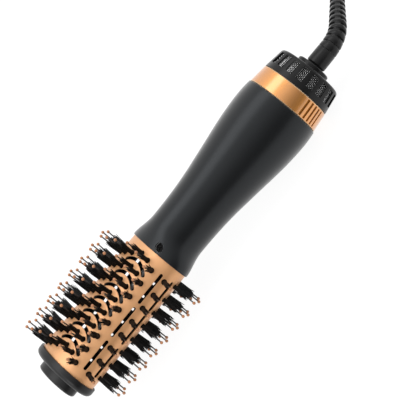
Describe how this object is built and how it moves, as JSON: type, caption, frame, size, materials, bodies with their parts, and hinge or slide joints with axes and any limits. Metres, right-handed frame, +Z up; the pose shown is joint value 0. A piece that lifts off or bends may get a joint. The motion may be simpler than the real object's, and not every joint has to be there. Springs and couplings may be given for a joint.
{
  "type": "hot air brush",
  "caption": "Hand-held hot air brush: oval perforated barrel with rows of bristles and ball-tipped pins, waisted handle, rotary selector ring, vented end cap and swivel cord.",
  "frame": {"origin": "on the surface that the brush lies on, under the middle of the brush without its cord", "axes": "+X along the brush from the tip to the cord, +Z up, -Y to the narrow edge of the barrel that faces the viewer"},
  "size_m": [0.5391, 0.1237, 0.0851],
  "materials": {
    "rose_gold": "satin rose gold ceramic-coated aluminium",
    "ring_gold": "satin rose gold metallised ring",
    "black_shell": "satin black heat-resistant plastic",
    "handle_black": "soft-touch satin black",
    "charcoal": "fine matte charcoal",
    "mesh_steel": "blackened woven wire",
    "inner_plastic": "plain moulded",
    "plain_steel": "plain",
    "copper": "plain copper",
    "mica": "mica board",
    "heater_wire": "resistance wire",
    "board_green": "printed circuit board",
    "soft_rubber": "soft",
    "relief_rubber": "satin moulded",
    "cord_rubber": "satin flexible sheath",
    "tie_rubber": "matte silicone strap",
    "plug_rubber": "moulded plug",
    "pin_metal": "nickel plated brass",
    "bristle_nylon": "black nylon"
  },
  "bodies": {
    "cord_set": {"swivel_core": "inner_plastic", "strain_relief": "relief_rubber", "cord_tube": "cord_rubber", "cord_coil": "cord_rubber", "coil_tie": "tie_rubber", "plug_body": "plug_rubber", "plug_pins": "pin_metal"},
    "handle": {"barrel_shell": "rose_gold", "board_parts": "inner_plastic", "bristles_back_1": "bristle_nylon", "bristles_back_2": "bristle_nylon", "bristles_back_3": "bristle_nylon", "bristles_back_4": "bristle_nylon", "bristles_back_5": "bristle_nylon", "bristles_back_6": "bristle_nylon", "bristles_back_7": "bristle_nylon", "bristles_front_1": "bristle_nylon", "bristles_front_2": "bristle_nylon", "bristles_front_3": "bristle_nylon", "bristles_front_4": "bristle_nylon", "bristles_front_5": "bristle_nylon", "bristles_front_6": "bristle_nylon", "bristles_front_7": "bristle_nylon", "bristles_nose_lower": "bristle_nylon", "bristles_nose_upper": "bristle_nylon", "bristles_tail_lower": "bristle_nylon", "bristles_tail_upper": "bristle_nylon", "circuit_board": "board_green", "cord_boss": "charcoal", "fan_duct": "inner_plastic", "filter_screen": "mesh_steel", "handle_screws": "plain_steel", "handle_sleeve": "handle_black", "head_collar": "inner_plastic", "heater_cross": "mica", "heater_winding": "heater_wire", "lead_wires": "soft_rubber", "mica_sleeve": "mica", "motor_can": "plain_steel", "motor_cushion": "soft_rubber", "motor_end_cap": "inner_plastic", "rear_frame": "inner_plastic", "rear_screws": "plain_steel", "switch_block": "inner_plastic", "swivel_retainer": "inner_plastic", "thermal_fuse": "plain_steel", "thermostat": "plain_steel", "tie_rod": "plain_steel", "tip_nut": "plain_steel", "tip_plug": "black_shell", "tip_rim": "black_shell", "vent_cap": "charcoal"},
    "selector": {"selector_ring": "ring_gold", "switch_wiper": "copper"},
    "rotor": {"motor_shaft": "plain_steel", "armature": "copper", "impeller": "inner_plastic"}
  },
  "joints": [
    {"name": "cord_swivel", "type": "hinge", "parent": "cord_set", "child": "handle", "pos_m": [0.14951, 0, 0.02918], "axis": [0.9984, 0, -0.056], "continuous": true},
    {"name": "selector_turn", "type": "hinge", "parent": "handle", "child": "selector", "pos_m": [0.11127, 0, 0.03133], "axis": [0.9984, 0, -0.056], "range_deg": [0, 90]},
    {"name": "rotor_spin", "type": "hinge", "parent": "handle", "child": "rotor", "pos_m": [0.06704, 0, 0.03381], "axis": [0.9984, 0, -0.056], "continuous": true}
  ]
}
